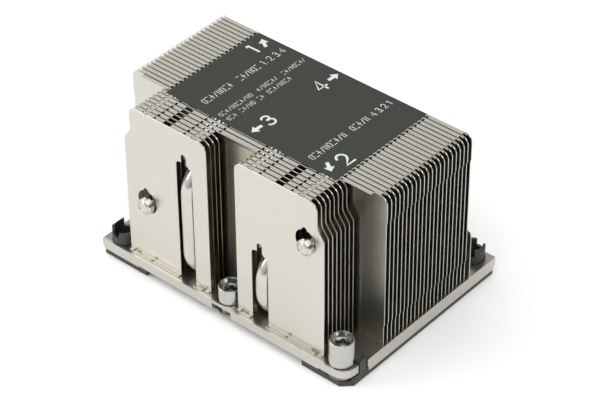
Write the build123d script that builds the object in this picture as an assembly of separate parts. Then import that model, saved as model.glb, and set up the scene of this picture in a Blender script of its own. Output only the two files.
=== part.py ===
from build123d import *
from math import cos, radians, sin
import os

# Passive heatsink for a server processor. Millimetres, Z up, X along the fins.
# The origin is the middle of the face that presses on the processor.
# The front, where the two short fin blocks stand, is towards -Y.

# base plate
base_length = 108.0
base_width = 78.0
base_thickness = 3.8
contact_pad_rise = 0.2
contact_pad_margin = 1.0
end_step_rise = 0.7
end_step_length = 12.0
plain_corner_radius = 1.0
nut_corner_radius = 5.0
nut_corner_inset = 0.6
arm_notch_depth = 2.0
arm_notch_length = 3.9
arm_notch_reach = 10.6
round_sides = 16

# fin stack
stack_height = 64.0
sheet = 0.4
first_fin_setback = 2.9
low_fin_setback = 14.5
front_fin_count = 8
main_fin_count = 22
fin_corner_radius = 3.0
fin_corner_steps = 2
low_fin_height = 24.2
flange_slit = 0.03
left_block_setback = 11.0
right_block_setback = 11.7
block_gap = 12.0
block_gap_shift = -0.5
block_shoulder_inset = 2.8
block_shoulder_drop = 9.7
block_shoulder_height = 3.5
flange_gap_width = 3.2
flange_gap_share = 0.44
front_lip = 1.6
lip_inset = 2.4
lip_hole_radius = 0.65

# heat pipes
pipe_radius = 3.0
pipe_sides = 12
pipe_bend = 10.0
pipe_bend_steps = 6
pipe_axis_lift = 1.0
solder_gap = 0.1
riser_slot_clearance = 0.4
slot_above_pipe = 1.0
slot_notch_height = 3.4
slot_slope = 2.0
riser_setback = 5.0
upper_row_drop = 16.0
row_spacing = 19.4
left_riser_setback = 37.5
right_riser_setback = 38.6
tip_pipe_setback = 19.6
tip_overhang = 1.0
back_tip_overhang = 1.5
tip_dome = 1.8
tip_narrowing = 1.45
notch_width = 2.2
notch_above_pipe = 1.3
front_pipe_end = 9.0
rear_pipe_end = -9.0

# captive nuts
corner_nut_setback = 6.1
middle_nut_x = 0.3
nut_setback = 4.9
head_radius = 4.15
head_length = 6.0
collar_radius = 4.35
collar_length = 2.0
neck_radius = 3.55
seat_flange_length = 1.1
tall_nut_extra = 3.7
nut_mouth_radius = 3.8
nut_floor_radius = 3.2
nut_mouth_depth = 2.2
nut_mouth_land = 0.2
drive_radius = 2.4
drive_wave = 0.4
drive_depth = 3.0
drive_points = 18
thread_radius = 1.65
web_over_thread = 0.8
seat_floor = 1.5
seat_clearance = 0.25
neck_clearance = 0.2
seat_gap = 0.05
nut_tail = 0.9
lip_over_middle_nut = 1.2
middle_notch_length = 8.3
middle_notch_depth = 2.1

# retaining rings
ring_thickness = 0.5
ring_radius = 4.6
ring_groove_depth = 0.5
ring_groove_margin = 0.1
ring_bore_gap = 0.1
ring_slit = 2.0
ring_pocket_gap = 0.5

# carrier
carrier_depth = 3.0
carrier_end_inset = 0.3
carrier_side_inset = 0.8
window_end_setback = 15.0
window_side_setback = 12.0
carrier_bar_setback = 2.6
front_foot_setback = 19.5
carrier_corner_chamfer = 3.4
carrier_nut_hole_radius = 5.4
collar_hole_clearance = 0.2
post_collar_outer = 4.4
post_collar_inner = 3.4
post_collar_top = 6.2
outer_post_top = 9.4
outer_post_slope = 2.6
inner_post_top = 8.6
outer_post_angle = 180
outer_post_spread = 42
inner_post_angle = -35
inner_post_spread = 40
arm_top = 5.0
arm_thickness = 1.4
arm_length = 3.3
arm_clearance = 0.3

# label
label_end_setback = 18.1
label_overhang = 2.66
label_back_inset = 0.28
label_thickness = 0.1
label_corner = 0.8

first_fin_y = -base_width / 2 + first_fin_setback
fin_pitch = (base_width - first_fin_setback - low_fin_setback) / (front_fin_count + main_fin_count)
main_half = base_length / 2
left_block_left = -main_half + left_block_setback
right_block_right = main_half - right_block_setback
left_block_right = block_gap_shift - block_gap / 2
right_block_left = block_gap_shift + block_gap / 2
flange_gap_centre = main_half * flange_gap_share
left_riser_x = -main_half + left_riser_setback
right_riser_x = main_half - right_riser_setback
tip_pipe_x = main_half - tip_pipe_setback
corner_nut_x = main_half - corner_nut_setback
carrier_half_length = main_half - carrier_end_inset
carrier_half_width = base_width / 2 - carrier_side_inset
window_length = base_length - 2 * window_end_setback
window_width = base_width - 2 * window_side_setback
front_foot_inner_end = main_half - front_foot_setback
label_length = base_length - 2 * label_end_setback
nut_y = -base_width / 2 + nut_setback
riser_y = -base_width / 2 + riser_setback
pipe_floor_z = base_thickness + pipe_axis_lift
upper_row = stack_height - upper_row_drop
lower_row = upper_row - row_spacing
block_shoulder_top = stack_height - block_shoulder_drop
block_shoulder_bottom = block_shoulder_top - block_shoulder_height
groove_radius = pipe_radius + solder_gap
nut_hole_radius = neck_radius + neck_clearance
nut_seat_radius = collar_radius + seat_clearance
collar_seat_z = seat_floor + seat_gap
short_nut_top = collar_seat_z + collar_length + head_length
tall_nut_top = short_nut_top + tall_nut_extra
groove_top = ring_groove_margin - seat_gap
label_front = first_fin_y + front_fin_count * fin_pitch - sheet / 2 - label_overhang
label_back = first_fin_y + (front_fin_count + main_fin_count - 1) * fin_pitch - label_back_inset


def fin_y(index):
    return first_fin_y + index * fin_pitch


def sheet_plane(index):
    """The plane of a fin's back face, so that a fin grows from it towards -Y."""
    return Plane((0, fin_y(index) + sheet / 2, 0), x_dir=(1, 0, 0), z_dir=(0, -1, 0))


def block(x0, x1, y0, y1, z0, z1):
    return Pos((x0 + x1) / 2, (y0 + y1) / 2, (z0 + z1) / 2) * Box(x1 - x0, y1 - y0, z1 - z0)


def middle_block(length, width, z0, z1):
    return block(-length / 2, length / 2, -width / 2, width / 2, z0, z1)


def rect(x0, x1, z0, z1):
    return Pos((x0 + x1) / 2, (z0 + z1) / 2) * Rectangle(x1 - x0, z1 - z0)


def round_face(radius):
    return RegularPolygon(radius, round_sides)


def turned(z0, z1, radius, x, y):
    """A round post or hole, drawn with few sides because there are many of them."""
    return Pos(x, y, z0) * extrude(round_face(radius), amount=z1 - z0)


def corner_points(x, z, radius, start):
    """Points round a quarter circle about (x, z), anticlockwise from the start angle."""
    angles = [radians(start + 90 * i / fin_corner_steps) for i in range(fin_corner_steps + 1)]
    return [(x + radius * cos(a), z + radius * sin(a)) for a in angles]


def round_topped(left, right, top):
    """A sheet that stands on the base, with both top corners rounded."""
    r = fin_corner_radius
    feet = [(left, base_thickness), (right, base_thickness)]
    corners = corner_points(right - r, top - r, r, 0) + corner_points(left + r, top - r, r, 90)
    return make_face(Polyline(*feet, *corners, close=True))


def half_turn(shape):
    return Rot(0, 0, 180) * shape


# heat pipes

def bend(before, corner, after):
    """Short straight steps round a right-angled bend."""
    into = (corner - before).normalized()
    out = (after - corner).normalized()
    centre = corner + (out - into) * pipe_bend
    turns = [radians(90 * i / pipe_bend_steps) for i in range(pipe_bend_steps + 1)]
    return [centre + (into * sin(a) - out * cos(a)) * pipe_bend for a in turns]


def pipe(x, *route):
    """A pipe in the plane x, bent twice, with a swaged tip at each end."""
    a, b, c, d = (Vector(x, *point) for point in route)
    path = Polyline(a, *bend(a, b, c), *bend(b, c, d), d)
    start = Plane(path @ 0, x_dir=(1, 0, 0), z_dir=path % 0)
    body = sweep(start * RegularPolygon(pipe_radius, pipe_sides), path=path, transition=Transition.RIGHT)
    for tip in (a, d):
        mouth = body.faces().sort_by_distance(tip)[0]
        body = chamfer(mouth.edges(), length=tip_narrowing, length2=tip_dome, reference=mouth)
    return body


def front_riser(x, height):
    """Runs along the base, climbs at the front and goes back through the fins."""
    back = fin_y(front_fin_count + main_fin_count - 1) + back_tip_overhang
    foot = (riser_y, pipe_floor_z)
    return pipe(x, (front_pipe_end, pipe_floor_z), foot, (riser_y, height), (back, height))


def rear_riser(x, height):
    """Its upper end shows as a domed tip at the front; it climbs at the back."""
    tip = -base_width / 2 - tip_overhang
    foot = (-riser_y, pipe_floor_z)
    return pipe(x, (tip, height), (-riser_y, height), foot, (rear_pipe_end, pipe_floor_z))


pipes = {
    "heat_pipe_left_riser": (left_riser_x, upper_row, front_riser),
    "heat_pipe_right_riser": (right_riser_x, lower_row, front_riser),
    "heat_pipe_right_tip": (tip_pipe_x, upper_row, rear_riser),
    "heat_pipe_left_tip": (-tip_pipe_x, lower_row, rear_riser),
}


# fins

def sided_hole(sides):
    """A hole with flat sides, each just clear of the pipe."""
    return Rot(0, 0, 180 / sides) * RegularPolygon(groove_radius, sides, major_radius=False)


def pipe_hole(x, height, sides):
    """A hole round a pipe. The round one has the narrow solder notch over it."""
    if sides:
        return Pos(x, height) * sided_hole(sides)
    half = notch_width / 2
    return Pos(x, height) * Circle(groove_radius) + rect(
        x - half, x + half, height, height + groove_radius + notch_above_pipe)


def riser_slot(x, height, fine):
    """The open slot that lets a pipe climb in front of the fins."""
    half = pipe_radius + riser_slot_clearance
    shoulder = height + pipe_radius + slot_above_pipe
    top = shoulder + slot_notch_height
    slot = make_face(Polyline(
        (x - half, 0), (x - half, shoulder), (x + half - slot_slope, shoulder),
        (x + half, shoulder - slot_slope), (x + half, 0), close=True))
    notch = rect(x - notch_width / 2, x + notch_width / 2, shoulder - 1, top)
    if fine:
        notch = fillet(notch.vertices().sort_by(Axis.Y)[-2:], radius=notch_width * 0.45)
    return slot + notch


def block_outline(outer, inner):
    """A front block's sheet: its outer side steps in towards the top."""
    way = 1 if inner > outer else -1
    step = outer + way * block_shoulder_inset
    sheet_face = round_topped(*sorted((step, inner)), stack_height)
    shoulder = make_face(Polyline(
        (step, base_thickness), (outer, base_thickness), (outer, block_shoulder_bottom),
        (step, block_shoulder_top), close=True))
    return sheet_face + shoulder


def top_flange(index, x0, x1):
    """The folded top edge, which reaches the sheet in front of it."""
    y = fin_y(index)
    return block(x0, x1, y - fin_pitch + sheet / 2 + flange_slit, y, stack_height - sheet, stack_height)


def floor_pipes(y):
    """Where a pipe's lower run passes under a fin at this y."""
    spots = []
    if y < front_pipe_end + solder_gap:
        spots += [left_riser_x, right_riser_x]
    if y > rear_pipe_end - solder_gap:
        spots += [-tip_pipe_x, tip_pipe_x]
    return spots


def floor_notch(x):
    return rect(x - groove_radius, x + groove_radius, 0, pipe_floor_z + groove_radius)


def main_fin(index):
    face = round_topped(-main_half, main_half, stack_height)
    for x, height, _ in pipes.values():
        face -= pipe_hole(x, height, 6)
    for x in floor_pipes(fin_y(index)):
        face -= floor_notch(x)
    fin = extrude(sheet_plane(index) * face, amount=sheet)
    if index > front_fin_count:
        reach = main_half - fin_corner_radius
        fin += top_flange(index, -reach, reach)
    return fin


def low_fin(index):
    face = round_topped(-main_half, main_half, low_fin_height)
    for x in floor_pipes(fin_y(index)):
        face -= floor_notch(x)
    return extrude(sheet_plane(index) * face, amount=sheet)


def bottom_lip(outer, inner, slot_x):
    """The foremost fin's foot, folded forwards on to the base, open at the slot."""
    left, right = sorted((outer, inner))
    y = fin_y(0) - sheet / 2
    top = base_thickness + sheet
    lip = block(left + lip_inset, right - lip_inset, y - front_lip, y + sheet / 2, base_thickness, top)
    half = pipe_radius + riser_slot_clearance
    lip -= block(slot_x - half, slot_x + half, y - front_lip - 1, y + 1, 0, top + 1)
    hole_x = (outer + slot_x + (half if outer > slot_x else -half)) / 2
    return lip - turned(0, top + 1, lip_hole_radius, hole_x, y - front_lip / 2)


def block_fin(index, outer, inner, slot, hole, gap_x):
    fine = index == 0
    face = block_outline(outer, inner)
    face -= riser_slot(slot[0], slot[1], fine)
    face -= pipe_hole(hole[0], hole[1], 0 if fine else 6)
    fin = extrude(sheet_plane(index) * face, amount=sheet)
    if fine:
        return fin + bottom_lip(outer, inner, slot[0])
    way = 1 if inner > outer else -1
    outer_end = outer + way * (block_shoulder_inset + fin_corner_radius)
    x0, x1 = sorted((outer_end, inner - way * fin_corner_radius))
    gap = flange_gap_width / 2
    for a, b in ((x0, gap_x - gap), (gap_x + gap, x1)):
        fin += top_flange(index, a, b)
    return fin


def left_fin(index):
    slot, hole = (left_riser_x, upper_row), (-tip_pipe_x, lower_row)
    return block_fin(index, left_block_left, left_block_right, slot, hole, -flange_gap_centre)


def right_fin(index):
    slot, hole = (right_riser_x, lower_row), (tip_pipe_x, upper_row)
    return block_fin(index, right_block_right, right_block_left, slot, hole, flange_gap_centre)


# captive nuts and their rings

nuts = {
    "1": (-corner_nut_x, -nut_y, True),
    "2": (corner_nut_x, nut_y, True),
    "3": (middle_nut_x, nut_y, False),
    "4": (-middle_nut_x, -nut_y, False),
}


def drive_outline():
    """Six rounded lobes for the driver, drawn as a wave round a circle."""
    points = []
    for i in range(drive_points):
        angle = radians(360 * i / drive_points)
        r = drive_radius + drive_wave * cos(6 * angle)
        points.append((r * cos(angle), r * sin(angle)))
    return make_face(Polyline(*points, close=True))


def nut(x, y, tall):
    top = tall_nut_top if tall else short_nut_top
    collar_top = top - head_length
    collar_foot = collar_top - collar_length
    drive_floor = top - nut_mouth_depth - drive_depth
    groove_foot = groove_top - ring_thickness - 2 * ring_groove_margin
    body = turned(collar_top, top, head_radius, 0, 0)
    body += turned(collar_foot, collar_top, collar_radius, 0, 0)
    body += turned(-nut_tail, collar_foot, neck_radius, 0, 0)
    if tall:
        body += turned(collar_seat_z, collar_seat_z + seat_flange_length, collar_radius, 0, 0)
    core = turned(groove_foot, groove_top, neck_radius - ring_groove_depth, 0, 0)
    body -= turned(groove_foot, groove_top, neck_radius + 1, 0, 0) - core
    body -= turned(top - nut_mouth_depth, top + 1, nut_floor_radius, 0, 0)
    rim = body.faces().sort_by(Axis.Z)[-1]
    mouth = rim.inner_wires()[0].edges()
    flare = (nut_mouth_radius - nut_floor_radius) * cos(radians(180 / round_sides))
    body = chamfer(mouth, length=flare, length2=nut_mouth_depth - nut_mouth_land, reference=rim)
    body -= extrude(Plane((0, 0, drive_floor)) * drive_outline(), amount=drive_depth + 0.1)
    bore_top = drive_floor - web_over_thread
    body -= Pos(0, 0, (bore_top - nut_tail - 1) / 2) * Cylinder(thread_radius, bore_top + nut_tail + 1)
    return Pos(x, y, 0) * body


def retaining_ring(x, y):
    foot = groove_top - ring_groove_margin - ring_thickness
    ring = turned(foot, foot + ring_thickness, ring_radius, 0, 0)
    bore = neck_radius - ring_groove_depth + ring_bore_gap
    ring -= turned(foot - 1, foot + ring_thickness + 1, bore, 0, 0)
    ring -= block(-ring_radius - 1, 0, -ring_slit / 2, ring_slit / 2, foot - 1, foot + ring_thickness + 1)
    return Pos(x, y, 0) * ring


# base plate

def base_half_cuts():
    """What is cut from the front half; a half turn gives the back half's cuts."""
    x_end = base_length / 2
    y_front = -base_width / 2
    cuts = []
    boss_x = x_end - nut_corner_inset
    notch_back = y_front + arm_notch_reach
    cuts.append(block(boss_x, x_end + 1, y_front - 1, notch_back, -1, base_thickness + 1))
    notch_front = notch_back - arm_notch_length
    above = base_thickness + 1
    cuts.append(block(x_end - arm_notch_depth, x_end + 1, notch_front, notch_back, -1, above))
    boss_x0, boss_y0 = boss_x - nut_corner_radius, y_front + nut_corner_radius
    corner = block(boss_x0, boss_x + 1, y_front - 1, boss_y0, -1, above)
    cuts.append(corner - turned(-2, above + 1, nut_corner_radius, boss_x0, boss_y0))
    cuts.append(block(x_end - end_step_length, x_end + 1, y_front - 1, -y_front + 1, -1, end_step_rise))
    for x in (corner_nut_x, middle_nut_x):
        cuts.append(turned(-1, base_thickness + 1, nut_hole_radius, x, nut_y))
        cuts.append(turned(seat_floor, base_thickness + 1, nut_seat_radius, x, nut_y))
    cuts.append(turned(-1, end_step_rise, ring_radius + ring_pocket_gap, middle_nut_x, nut_y))
    notch_x0, notch_x1 = middle_nut_x - middle_notch_length / 2, middle_nut_x + middle_notch_length / 2
    notch_y1, notch_top = y_front + middle_notch_depth, base_thickness - lip_over_middle_nut
    cuts.append(block(notch_x0, notch_x1, y_front - 1, notch_y1, -1, notch_top))
    cuts.append(turned(-1, above, post_collar_outer + collar_hole_clearance, -corner_nut_x, nut_y))
    return cuts


def base_plate():
    plate = middle_block(base_length, base_width, contact_pad_rise, base_thickness)
    pad_length = window_length - 2 * contact_pad_margin
    pad_width = window_width - 2 * contact_pad_margin
    plate += middle_block(pad_length, pad_width, 0, contact_pad_rise)
    for cut in base_half_cuts():
        plate -= cut
        plate -= half_turn(cut)
    run_end = riser_y + 3
    for x in (left_riser_x, right_riser_x):
        plate -= groove(x, run_end, front_pipe_end + solder_gap)
    for x in (-tip_pipe_x, tip_pipe_x):
        plate -= groove(x, rear_pipe_end - solder_gap, -run_end)
    return plate


def groove(x, y0, y1):
    end = Plane((x, y1, pipe_floor_z), x_dir=(1, 0, 0), z_dir=(0, -1, 0))
    return extrude(end * sided_hole(pipe_sides), amount=y1 - y0)


# carrier

def carrier_half():
    """The front half of the carrier; the back half is the same, turned."""
    bar_y = carrier_half_width - carrier_bar_setback
    half = block(-carrier_half_length, carrier_half_length, -bar_y, 0, -carrier_depth, contact_pad_rise)
    half += block(
        -carrier_half_length, -front_foot_inner_end, -carrier_half_width, -bar_y,
        -carrier_depth, contact_pad_rise)
    foot = make_face(Polyline(
        (front_foot_inner_end, -bar_y), (front_foot_inner_end, -carrier_half_width),
        (carrier_half_length - carrier_corner_chamfer, -carrier_half_width),
        (carrier_half_length, -carrier_half_width + carrier_corner_chamfer),
        (carrier_half_length, -bar_y), close=True))
    half += extrude(Plane((0, 0, -carrier_depth)) * foot, amount=carrier_depth + contact_pad_rise)
    corner = make_face(Polyline(
        (carrier_half_length - carrier_corner_chamfer, -carrier_half_width),
        (carrier_half_length + 1, -carrier_half_width),
        (carrier_half_length + 1, -carrier_half_width + carrier_corner_chamfer + 1), close=True))
    half -= extrude(Plane((0, 0, -carrier_depth - 1)) * corner, amount=carrier_depth + 2)
    for x in (corner_nut_x, middle_nut_x):
        half -= turned(-carrier_depth - 1, 1, carrier_nut_hole_radius, x, nut_y)
    return half + side_arm() + post_collar()


def side_arm():
    """The arm that rises in the notch of the base's edge."""
    notch_back = -base_width / 2 + arm_notch_reach
    x1 = carrier_half_length
    y1 = notch_back - arm_clearance
    return block(x1 - arm_thickness, x1, y1 - arm_length, y1, -carrier_depth, arm_top)


def sector(angle, half_width):
    """A slice that reaches past the collar, to pick out a stretch of its wall."""
    reach = 2 * post_collar_outer
    rays = [(angle - half_width, reach), (angle, 1.5 * reach), (angle + half_width, reach)]
    return make_face(Polyline(
        (0, 0), *[(r * cos(radians(a)), r * sin(radians(a))) for a, r in rays], close=True))


def post_collar():
    """The split collar that slides over the socket's guide post."""
    wall = round_face(post_collar_outer)
    low = extrude(Plane((0, 0, 0)) * wall, amount=post_collar_top)
    outer = extrude(wall & sector(outer_post_angle, outer_post_spread), amount=outer_post_top)
    past = -post_collar_outer - 1
    slope = Plane.XZ * make_face(Polyline(
        (past, outer_post_top - outer_post_slope), (past, outer_post_top + 1),
        (-post_collar_inner, outer_post_top + 1), (-post_collar_inner, outer_post_top), close=True))
    outer -= extrude(slope, amount=10, both=True)
    inner = extrude(wall & sector(inner_post_angle, inner_post_spread), amount=inner_post_top)
    return Pos(-corner_nut_x, nut_y, 0) * (low + outer + inner)


def carrier():
    half = carrier_half()
    body = half + half_turn(half)
    body -= middle_block(window_length, window_width, -carrier_depth - 1, 1)
    for way in (-1, 1):
        body -= Pos(-way * corner_nut_x, way * nut_y, 0) * Cylinder(post_collar_inner, 4 * outer_post_top)
    return body


# label

def top_label():
    middle = (label_front + label_back) / 2
    face = Pos(0, middle) * Rectangle(label_length, label_back - label_front)
    face = chamfer(face.vertices(), length=label_corner)
    return extrude(Plane((0, 0, stack_height)) * face, amount=label_thickness)


def build():
    nodes = {"base_plate": base_plate(), "carrier": carrier(), "top_label": top_label()}
    for name, (x, height, route) in pipes.items():
        nodes[name] = route(x, height)
    for i in range(front_fin_count):
        nodes[f"left_fin_{i + 1}"] = left_fin(i)
        nodes[f"right_fin_{i + 1}"] = right_fin(i)
    for i in range(main_fin_count):
        nodes[f"main_fin_{i + 1:02d}"] = main_fin(front_fin_count + i)
    nodes["low_rear_fin"] = low_fin(front_fin_count + main_fin_count)
    for number, (x, y, tall) in nuts.items():
        nodes[f"nut_{number}"] = nut(x, y, tall)
        nodes[f"retaining_ring_{number}"] = retaining_ring(x, y)
    return nodes


os.makedirs("parts", exist_ok=True)
for name, shape in build().items():
    export_step(shape, f"parts/{name}.step")
    print(name, round(shape.volume, 2), len(shape.solids()))
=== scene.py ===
from math import acos, cos, degrees, pi, radians, sin, tau
import bmesh
import bpy
from mathutils import Matrix, Vector


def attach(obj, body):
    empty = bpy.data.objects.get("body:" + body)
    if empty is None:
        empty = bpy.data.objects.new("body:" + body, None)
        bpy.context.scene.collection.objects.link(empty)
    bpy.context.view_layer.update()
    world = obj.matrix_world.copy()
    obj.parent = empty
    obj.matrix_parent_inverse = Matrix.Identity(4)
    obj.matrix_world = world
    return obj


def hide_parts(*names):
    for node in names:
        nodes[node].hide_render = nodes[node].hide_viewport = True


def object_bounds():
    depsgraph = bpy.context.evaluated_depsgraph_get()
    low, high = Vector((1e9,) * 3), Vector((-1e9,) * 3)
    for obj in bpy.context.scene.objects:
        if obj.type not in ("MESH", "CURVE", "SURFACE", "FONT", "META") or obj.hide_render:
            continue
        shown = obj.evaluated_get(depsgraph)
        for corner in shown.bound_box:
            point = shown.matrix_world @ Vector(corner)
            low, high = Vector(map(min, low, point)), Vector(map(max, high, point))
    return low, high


# A passive server heatsink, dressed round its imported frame. Sizes in the dictionaries are millimetres.

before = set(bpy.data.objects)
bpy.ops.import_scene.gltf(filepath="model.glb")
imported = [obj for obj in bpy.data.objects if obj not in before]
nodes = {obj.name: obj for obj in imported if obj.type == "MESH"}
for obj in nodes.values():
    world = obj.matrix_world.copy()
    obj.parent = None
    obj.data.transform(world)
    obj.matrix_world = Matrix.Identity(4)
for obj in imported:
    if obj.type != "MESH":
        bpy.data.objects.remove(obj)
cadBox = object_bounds()
mm = 0.001

photo = {
    "lens": 137.7,
    "azimuth": 41.06,
    "elevation": 38.23,
    "roll": -0.5,
    "aside": 0.7,      # the camera's place beside, above and away from the origin
    "above": 18.6,
    "away": 778.3,
}


def placeCamera():
    a, e, roll = (radians(photo[k]) for k in ("azimuth", "elevation", "roll"))
    back = Vector((sin(a) * cos(e), -cos(a) * cos(e), sin(e)))
    right = Vector((cos(a), sin(a), 0))
    up = back.cross(right)
    right, up = right * cos(roll) + up * sin(roll), up * cos(roll) - right * sin(roll)
    camera = bpy.data.objects.new("camera", bpy.data.cameras.new("camera"))
    bpy.context.scene.collection.objects.link(camera)
    spot = right * photo["aside"] + up * photo["above"] + back * photo["away"]
    camera.matrix_world = Matrix.Translation(spot * mm) @ Matrix((right, up, back)).transposed().to_4x4()
    camera.data.lens = photo["lens"]
    camera.data.sensor_width = 36
    camera.data.clip_start, camera.data.clip_end = 0.05, 20
    bpy.context.scene.camera = camera


placeCamera()
print("camera placed")


# shader maths: a socket that takes plain operators

class Signal:
    def __init__(self, tree, socket):
        self.tree, self.socket = tree, socket

    def maths(self, operation, *others):
        node = self.tree.nodes.new("ShaderNodeMath")
        node.operation = operation
        for slot, value in zip(node.inputs, (self, *others)):
            connect(self.tree, slot, value)
        return Signal(self.tree, node.outputs[0])

    def __add__(self, other):
        return self.maths("ADD", other)

    def __sub__(self, other):
        return self.maths("SUBTRACT", other)

    def __rsub__(self, other):
        return (self * -1).maths("ADD", other)

    def __mul__(self, other):
        return self.maths("MULTIPLY", other)

    def __gt__(self, other):
        return self.maths("GREATER_THAN", other)

    def __lt__(self, other):
        return self.maths("LESS_THAN", other)

    def __abs__(self):
        return self.maths("ABSOLUTE")

    __radd__ = __add__
    __rmul__ = __mul__


def connect(tree, slot, value):
    if isinstance(value, Signal):
        tree.links.new(value.socket, slot)
    else:
        slot.default_value = value


class Finish:
    def __init__(self, name, plain):
        self.material = bpy.data.materials.new(name)
        self.material.use_nodes = True
        self.tree = self.material.node_tree
        self.shader = self.tree.nodes["Principled BSDF"]
        for socket, value in plain.items():
            self.shader.inputs[socket].default_value = value
        self.place = self.add("ShaderNodeTexCoord", output="Object")
        self.x, self.y, self.z = self.split(self.place)
        self.nx, self.ny, self.nz = self.split(self.add("ShaderNodeTexCoord", output="Normal"))

    def add(self, kind, settings={}, values={}, output=0):
        node = self.tree.nodes.new(kind)
        for key, value in settings.items():
            setattr(node, key, value)
        for key, value in values.items():
            connect(self.tree, node.inputs[key], value)
        return Signal(self.tree, node.outputs[output])

    def split(self, vector):
        node = self.tree.nodes.new("ShaderNodeSeparateXYZ")
        connect(self.tree, node.inputs[0], vector)
        return [Signal(self.tree, socket) for socket in node.outputs]

    def noise(self, scale, stretch=(1, 1, 1), detail=2.0):
        spot = self.add("ShaderNodeMapping", {}, {"Vector": self.place, "Scale": stretch})
        return self.add("ShaderNodeTexNoise", {}, {"Vector": spot, "Scale": scale, "Detail": detail})

    def blend(self, share, one, two):
        return self.add("ShaderNodeMix", {"data_type": "RGBA"}, {0: share, 6: one, 7: two}, 2)

    def feed(self, socket, value):
        connect(self.tree, self.shader.inputs[socket], value)

    def bump(self, height, depth, strength=1.0):
        self.feed("Normal", self.add("ShaderNodeBump", {}, {"Height": height, "Distance": depth * mm, "Strength": strength}))


def grey(value, warm=0.0):
    return (value * (1 + warm), value, value * (1 - 1.6 * warm), 1)


sheetMetal = {
    "open": (0.610, 0.594, 0.545, 1),
    "cloud": (0.560, 0.545, 0.498, 1),
    # painted shade: the dark colour given to faces deep between the sheets
    "gap": (0.38, 0.36, 0.28, 1),
    "shadow": (0.36, 0.35, 0.285, 1),
    "roughness": 0.30,
}
firstRow, frontFace, lastFace = -36.2, -20.05, 22.6     # where sheets face open air, along Y
leftEnds = {"main": -50.5, "block": -37.2}              # light reaches between the sheets past these


def makeFinFinish():
    f = Finish("nickelSheet", {"Metallic": 1.0})
    streaks = f.noise(420, (0.08, 1, 1), 3)
    clouds = f.noise(30, (1, 1, 0.6), 2)
    between = (f.y > firstRow * mm) * (f.y < lastFace * mm)
    openFront = (f.y < frontFace * mm) * (f.y > (frontFace - 0.2) * mm) * (f.ny < -0.5)
    inBlocks = f.y < frontFace * mm
    lit = (f.x < leftEnds["main"] * mm) + (f.x < leftEnds["block"] * mm) * inBlocks * (f.z > 50 * mm)
    # painted shade: faces looking along Y between the sheets, and the undersides there, take the dark gap colour,
    # except near the left ends where light reaches in
    gap = (abs(f.ny) > 0.75) * between * (1 - openFront)
    under = (f.nz < -0.5) * between
    shade = (gap + under).maths("MINIMUM", 1.0) * (1 - lit.maths("MINIMUM", 1.0))
    surface = f.blend(clouds, sheetMetal["cloud"], sheetMetal["open"])
    # painted shadow: the main front sheet's open strip beside the right block is darkened, with streaks running up and
    # down
    runs = f.noise(700, (1, 1, 0.03), 2)
    shaded = f.blend(runs, sheetMetal["shadow"], sheetMetal["cloud"])
    beside = openFront * (f.x > 41 * mm)
    # painted shade: the upward faces of the foremost sheets' folded feet are coloured darker
    foot = (f.z < 4.75 * mm) * (f.y < -36.25 * mm) * (f.nz > 0.3)
    surface = f.blend(foot, surface, (0.40, 0.375, 0.33, 1))
    f.feed("Base Color", f.blend(shade, f.blend(beside * 0.75, surface, shaded), sheetMetal["gap"]))
    f.feed("Roughness", streaks * 0.10 + sheetMetal["roughness"] - 0.05)
    f.bump(streaks, 0.004, 0.5)
    return f.material


def makePlateFinish():
    f = Finish("nickelPlate", {"Metallic": 1.0})
    grain = f.noise(500, (0.1, 1, 1), 3)
    clouds = f.noise(40, (1, 1, 1), 3)
    # painted shade: the plate's top, under and between the sheets, is coloured dark
    shadedTop = (f.nz > 0.5) * (f.y > -38.2 * mm) * (abs(f.x) < 54 * mm)
    worn = f.blend(clouds, (0.50, 0.488, 0.445, 1), (0.58, 0.565, 0.52, 1))
    f.feed("Base Color", f.blend(shadedTop * 0.6, worn, (0.20, 0.19, 0.15, 1)))
    f.feed("Roughness", grain * 0.14 + 0.27)
    f.bump(grain, 0.006, 0.6)
    return f.material


def makePipeFinish():
    f = Finish("nickelPipe", {"Metallic": 1.0})
    dull = f.noise(160, (1, 1, 1), 3)
    f.feed("Base Color", f.blend(dull, (0.50, 0.49, 0.445, 1), (0.62, 0.605, 0.56, 1)))
    f.feed("Roughness", dull * 0.12 + 0.10)
    f.bump(dull, 0.01, 0.4)
    return f.material


def makeNutFinish():
    f = Finish("platedSteel", {"Metallic": 1.0})
    turned = f.noise(900, (0.15, 0.15, 1), 2)
    spots = f.noise(260, (1, 1, 1), 4)
    f.feed("Base Color", f.blend(spots, (0.42, 0.42, 0.40, 1), (0.52, 0.52, 0.50, 1)))
    f.feed("Roughness", turned * 0.08 + 0.14)
    f.bump(turned, 0.002, 0.3)
    return f.material


def makeSpringFinish():
    f = Finish("springSteel", {"Metallic": 1.0})
    spots = f.noise(300, (1, 1, 1), 3)
    f.feed("Base Color", f.blend(spots, (0.22, 0.21, 0.20, 1), (0.36, 0.35, 0.34, 1)))
    f.feed("Roughness", spots * 0.2 + 0.28)
    return f.material


def makePlasticFinish():
    f = Finish("mouldedPlastic", {"Metallic": 0.0})
    grain = f.noise(1800, (1, 1, 1), 2)
    worn = f.noise(90, (1, 1, 1), 3)
    f.feed("Base Color", f.blend(worn, (0.022, 0.023, 0.022, 1), (0.040, 0.041, 0.039, 1)))
    f.feed("Roughness", worn * 0.18 + 0.40)
    f.bump(grain, 0.02, 0.5)
    return f.material


def makeLabelFinish():
    f = Finish("printedFilm", {"Metallic": 0.0})
    fleck = f.noise(1500, (1, 1, 1), 2)
    cloud = f.noise(35, (1, 1, 1), 2)
    dark, light = (0.021, 0.026, 0.020, 1), (0.027, 0.030, 0.023, 1)
    f.feed("Base Color", f.blend(cloud, dark, light))
    f.feed("Roughness", fleck * 0.10 + 0.52)
    f.shader.inputs["Specular IOR Level"].default_value = 0.35
    f.bump(fleck, 0.006, 0.5)
    return f.material


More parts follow.
